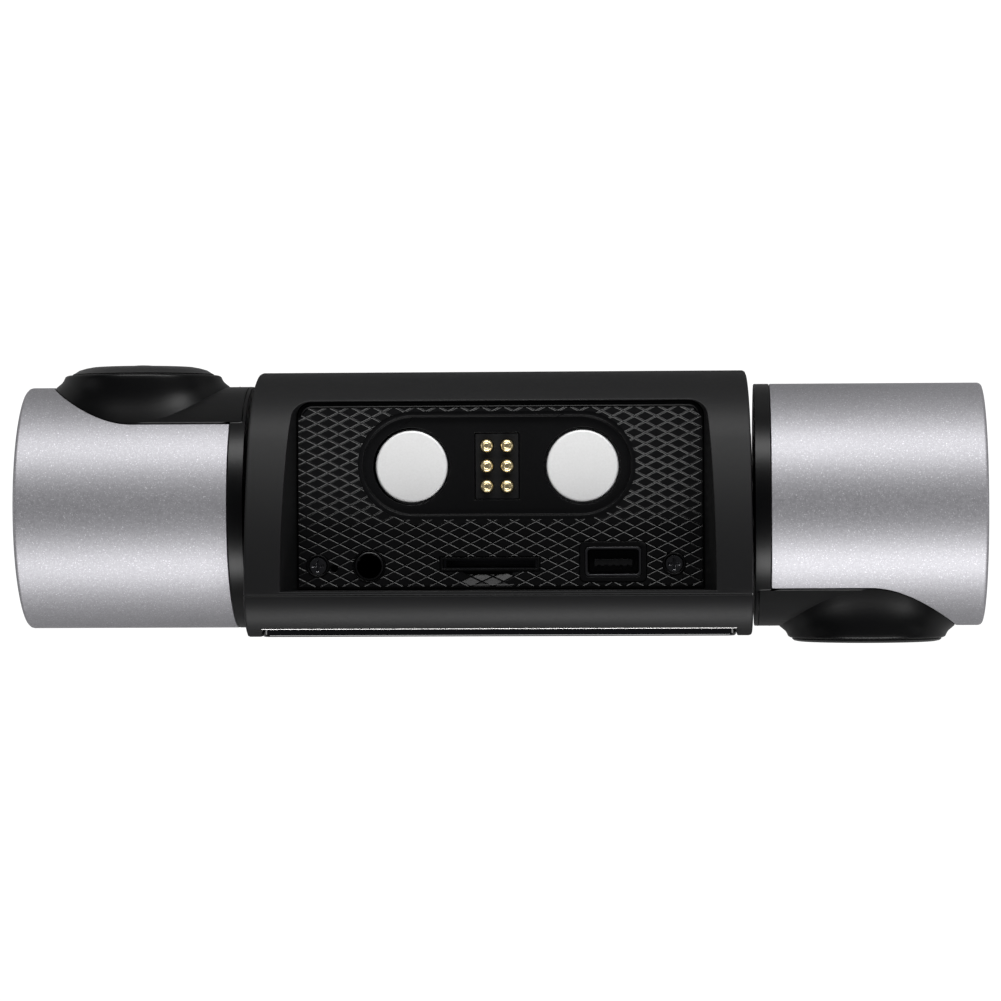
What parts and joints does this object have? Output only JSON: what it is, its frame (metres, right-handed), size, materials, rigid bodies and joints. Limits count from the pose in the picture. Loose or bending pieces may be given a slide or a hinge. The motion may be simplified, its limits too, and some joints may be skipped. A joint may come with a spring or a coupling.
{
  "type": "dash camera",
  "caption": "Bar-shaped dash camera with a screen, a recessed magnetic bracket seat and a turning camera drum at each end.",
  "frame": {"origin": "centre of the object's footprint, in the plane it stands on", "axes": "+X along the bar and the drums' axis, +Y towards the road, +Z towards the bracket seat"},
  "size_m": [0.121, 0.0356, 0.0342],
  "materials": {
    "body_black": "fine spark-eroded texture",
    "panel_black": "moulded diamond pads",
    "drum_silver": "bead blasted, clear anodised",
    "screen_glass": "tinted cover glass, black printed border",
    "lens_glass": "coated optical glass",
    "magnet_nickel": "nickel plated",
    "contact_gold": "gold plated",
    "steel": "stamped or turned",
    "screw_black": "black zinc",
    "connector_black": "moulded insulator",
    "board_green": "solder resist",
    "chip_black": "moulded package",
    "cell_silver": "foil pouch",
    "display_dark": "screen module",
    "lens_black": "black anodised",
    "lead_black": "insulated lead",
    "bush_white": "acetal"
  },
  "bodies": {
    "root": {"main_housing": "body_black", "rear_cover": "body_black", "screen_glass": "screen_glass", "lcd_module": "display_dark", "mount_panel": "panel_black", "panel_screws": "screw_black", "cover_screws": "screw_black", "magnets": "magnet_nickel", "keeper_plate": "steel", "pin_block": "connector_black", "av_jack": "connector_black", "card_socket": "steel", "usb_shell": "steel", "usb_tongue": "connector_black", "main_board": "board_green", "board_chips": "chip_black", "heat_spreader": "cell_silver", "battery": "cell_silver", "speaker": "steel", "microphone": "steel", "reset_switch": "connector_black", "key_switches": "steel", "key_board": "board_green", "pivot_bushes": "bush_white", "friction_washers": "steel"},
    "left_drum": {"left_sleeve": "drum_silver", "left_shroud": "body_black", "left_lens_bezel": "lens_black", "left_lens_glass": "lens_glass", "left_lens_barrel": "lens_black", "left_rear_element": "lens_glass", "left_image_sensor": "chip_black", "left_camera_board": "board_green", "left_board_screws": "steel", "left_camera_lead": "lead_black", "left_retaining_ring": "steel"},
    "right_drum": {"right_sleeve": "drum_silver", "right_shroud": "body_black", "right_lens_bezel": "lens_black", "right_lens_glass": "lens_glass", "right_lens_barrel": "lens_black", "right_rear_element": "lens_glass", "right_image_sensor": "chip_black", "right_camera_board": "board_green", "right_board_screws": "steel", "right_camera_lead": "lead_black", "right_retaining_ring": "steel", "right_ir_leds": "chip_black"},
    "contact_1": {"pogo_pin_1": "contact_gold"},
    "contact_2": {"pogo_pin_2": "contact_gold"},
    "contact_3": {"pogo_pin_3": "contact_gold"},
    "contact_4": {"pogo_pin_4": "contact_gold"},
    "contact_5": {"pogo_pin_5": "contact_gold"},
    "contact_6": {"pogo_pin_6": "contact_gold"},
    "control_key_1": {"key_1": "body_black"},
    "control_key_2": {"key_2": "body_black"},
    "control_key_3": {"key_3": "body_black"},
    "control_key_4": {"key_4": "body_black"},
    "reset": {"reset_plunger": "connector_black"}
  },
  "joints": [
    {"name": "left_drum_turn", "type": "hinge", "parent": "root", "child": "left_drum", "pos_m": [-0.0317, -0.0004, 0.0165], "axis": [1, 0, 0], "range_deg": [-90, 90]},
    {"name": "right_drum_turn", "type": "hinge", "parent": "root", "child": "right_drum", "pos_m": [0.0317, -0.0004, 0.0165], "axis": [1, 0, 0], "range_deg": [-90, 90]},
    {"name": "contact_1_press", "type": "slide", "parent": "root", "child": "contact_1", "axis": [0, 0, -1], "range_m": [0, 0.0008], "stiffness_N_per_m": 400, "springref_m": -0.0005},
    {"name": "contact_2_press", "type": "slide", "parent": "root", "child": "contact_2", "axis": [0, 0, -1], "range_m": [0, 0.0008], "stiffness_N_per_m": 400, "springref_m": -0.0005},
    {"name": "contact_3_press", "type": "slide", "parent": "root", "child": "contact_3", "axis": [0, 0, -1], "range_m": [0, 0.0008], "stiffness_N_per_m": 400, "springref_m": -0.0005},
    {"name": "contact_4_press", "type": "slide", "parent": "root", "child": "contact_4", "axis": [0, 0, -1], "range_m": [0, 0.0008], "stiffness_N_per_m": 400, "springref_m": -0.0005},
    {"name": "contact_5_press", "type": "slide", "parent": "root", "child": "contact_5", "axis": [0, 0, -1], "range_m": [0, 0.0008], "stiffness_N_per_m": 400, "springref_m": -0.0005},
    {"name": "contact_6_press", "type": "slide", "parent": "root", "child": "contact_6", "axis": [0, 0, -1], "range_m": [0, 0.0008], "stiffness_N_per_m": 400, "springref_m": -0.0005},
    {"name": "key_1_press", "type": "slide", "parent": "root", "child": "control_key_1", "axis": [0, 0, 1], "range_m": [0, 0.0003], "stiffness_N_per_m": 1500, "springref_m": -0.0003},
    {"name": "key_2_press", "type": "slide", "parent": "root", "child": "control_key_2", "axis": [0, 0, 1], "range_m": [0, 0.0003], "stiffness_N_per_m": 1500, "springref_m": -0.0003},
    {"name": "key_3_press", "type": "slide", "parent": "root", "child": "control_key_3", "axis": [0, 0, 1], "range_m": [0, 0.0003], "stiffness_N_per_m": 1500, "springref_m": -0.0003},
    {"name": "key_4_press", "type": "slide", "parent": "root", "child": "control_key_4", "axis": [0, 0, 1], "range_m": [0, 0.0003], "stiffness_N_per_m": 1500, "springref_m": -0.0003},
    {"name": "reset_press", "type": "slide", "parent": "root", "child": "reset", "axis": [0, 0, -1], "range_m": [0, 0.0003], "stiffness_N_per_m": 500, "springref_m": -0.0003}
  ]
}
